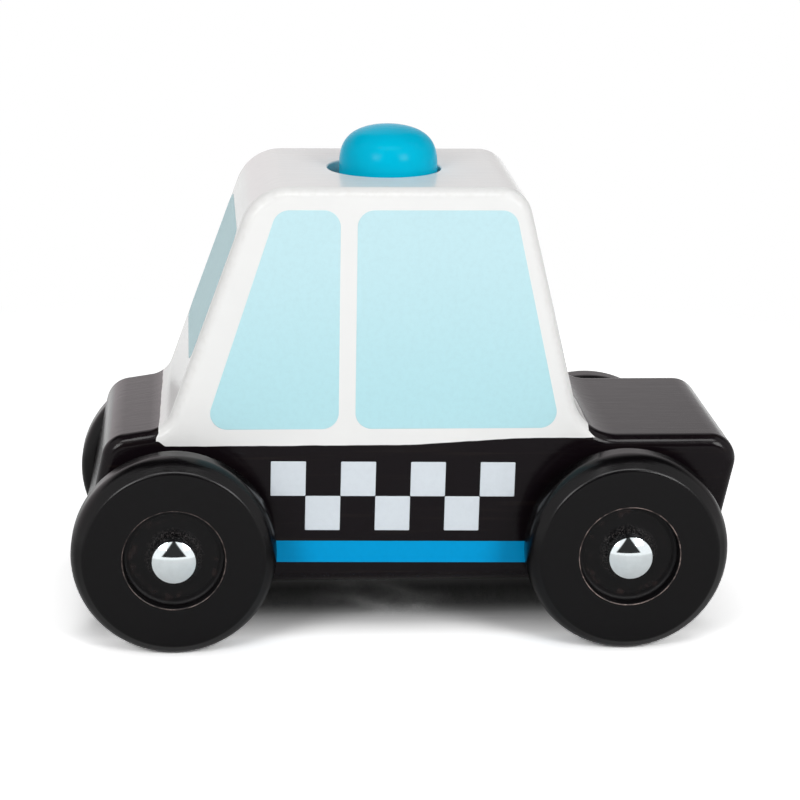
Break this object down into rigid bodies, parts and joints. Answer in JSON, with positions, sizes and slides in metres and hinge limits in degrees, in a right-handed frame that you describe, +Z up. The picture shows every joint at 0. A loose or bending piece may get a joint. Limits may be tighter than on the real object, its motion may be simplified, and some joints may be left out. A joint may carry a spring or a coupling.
{
  "type": "toy police car",
  "caption": "Wooden toy police car with a rounded black and white body, free-rolling turned wheels with domed axle caps and a sprung roof button that presses a squeaker.",
  "frame": {"origin": "on the floor under the middle of the car's box", "axes": "+X towards the bonnet, +Y towards the car's left side, +Z up"},
  "size_m": [0.1244, 0.0706, 0.0934],
  "materials": {
    "black_paint": "gloss black lacquer on wood",
    "white_paint": "gloss white lacquer on wood",
    "beech": "bare",
    "axle_steel": "plain drawn rod",
    "wheel_paint": "satin black lacquer on turned wood",
    "cap_chrome": "polished",
    "washer_nylon": "moulded",
    "blue_paint": "gloss blue lacquer on turned wood",
    "spring_steel": "bright wire",
    "bellows_rubber": "matte",
    "reed_plastic": "moulded",
    "window_print": "printed, under clear lacquer",
    "check_print": "printed, under clear lacquer",
    "stripe_print": "printed, under clear lacquer"
  },
  "bodies": {
    "car_body": {"chassis_block": "black_paint", "cab_block": "white_paint", "cab_dowels": "beech", "front_axle": "axle_steel", "rear_axle": "axle_steel", "front_right_axle_cap": "cap_chrome", "front_left_axle_cap": "cap_chrome", "rear_right_axle_cap": "cap_chrome", "rear_left_axle_cap": "cap_chrome", "wheel_spacers": "washer_nylon", "return_spring": "spring_steel", "squeaker_bellows": "bellows_rubber", "squeaker_reed": "reed_plastic", "right_window_prints": "window_print", "left_window_prints": "window_print", "windscreen_print": "window_print", "rear_window_print": "window_print", "right_check_prints": "check_print", "left_check_prints": "check_print", "right_stripe_print": "stripe_print", "left_stripe_print": "stripe_print"},
    "front_right_wheel": {"front_right_wheel": "wheel_paint"},
    "front_left_wheel": {"front_left_wheel": "wheel_paint"},
    "rear_right_wheel": {"rear_right_wheel": "wheel_paint"},
    "rear_left_wheel": {"rear_left_wheel": "wheel_paint"},
    "siren_button": {"siren_button": "blue_paint"}
  },
  "joints": [
    {"name": "front_right_roll", "type": "hinge", "parent": "car_body", "child": "front_right_wheel", "pos_m": [0.04072, -0.0288, 0.0189], "axis": [0, 1, 0], "continuous": true},
    {"name": "front_left_roll", "type": "hinge", "parent": "car_body", "child": "front_left_wheel", "pos_m": [0.04072, 0.0288, 0.0189], "axis": [0, 1, 0], "continuous": true},
    {"name": "rear_right_roll", "type": "hinge", "parent": "car_body", "child": "rear_right_wheel", "pos_m": [-0.04328, -0.0288, 0.0189], "axis": [0, 1, 0], "continuous": true},
    {"name": "rear_left_roll", "type": "hinge", "parent": "car_body", "child": "rear_left_wheel", "pos_m": [-0.04328, 0.0288, 0.0189], "axis": [0, 1, 0], "continuous": true},
    {"name": "button_press", "type": "slide", "parent": "car_body", "child": "siren_button", "axis": [0, 0, -1], "range_m": [0, 0.005], "stiffness_N_per_m": 400, "springref_m": -0.003, "deforming": ["return_spring", "squeaker_bellows"]}
  ]
}
